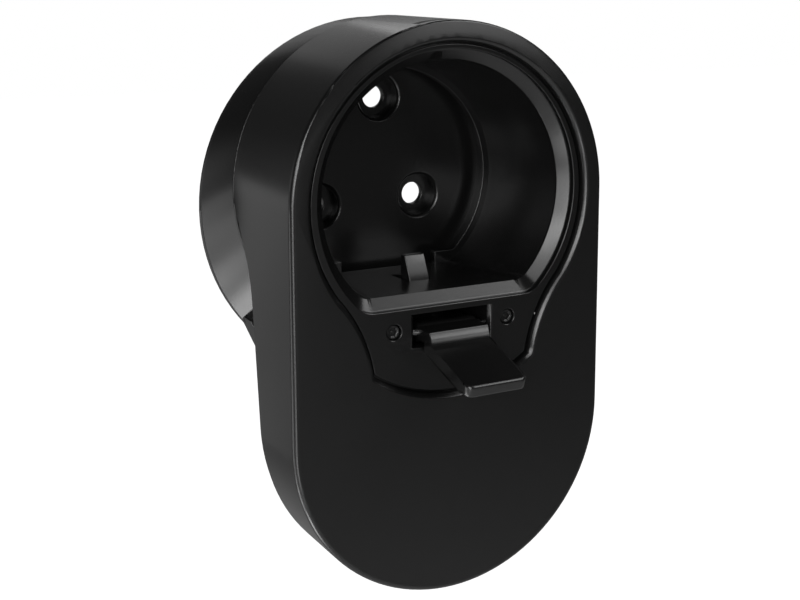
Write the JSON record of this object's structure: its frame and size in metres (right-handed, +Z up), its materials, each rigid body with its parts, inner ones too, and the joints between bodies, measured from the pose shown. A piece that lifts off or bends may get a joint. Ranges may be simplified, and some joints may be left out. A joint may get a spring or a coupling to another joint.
{
  "type": "ev connector holder",
  "caption": "Wall holder for an electric car charging plug: stadium shaped cover over a keyed socket, a sprung release lever below and a flared round base.",
  "frame": {"origin": "centre of the wall face, on the axis of the round part of the cover", "axes": "+X to the right as seen from the front, +Y into the wall, +Z up; the plug goes in along +Y"},
  "size_m": [0.0838, 0.0593, 0.1242],
  "materials": {
    "cover_plastic": "fine matt grain, black",
    "socket_plastic": "satin, black",
    "base_plastic": "fine matt grain, black",
    "lever_plastic": "satin, black",
    "pin_steel": "bright drawn steel",
    "spring_steel": "bright spring wire",
    "screw_steel": "blackened steel"
  },
  "bodies": {
    "holder": {"front_cover": "cover_plastic", "socket_insert": "socket_plastic", "wall_base": "base_plastic", "hinge_pin": "pin_steel", "lever_spring": "spring_steel", "insert_screw_left": "screw_steel", "insert_screw_right": "screw_steel"},
    "lever": {"release_lever": "lever_plastic"}
  },
  "joints": [
    {"name": "release_lever_hinge", "type": "hinge", "parent": "holder", "child": "lever", "pos_m": [0, -0.0365, -0.0289], "axis": [-1, 0, 0], "range_deg": [0, 18], "stiffness_Nm_per_rad": 0.04, "springref_deg": -20.05, "deforming": ["lever_spring"]}
  ]
}
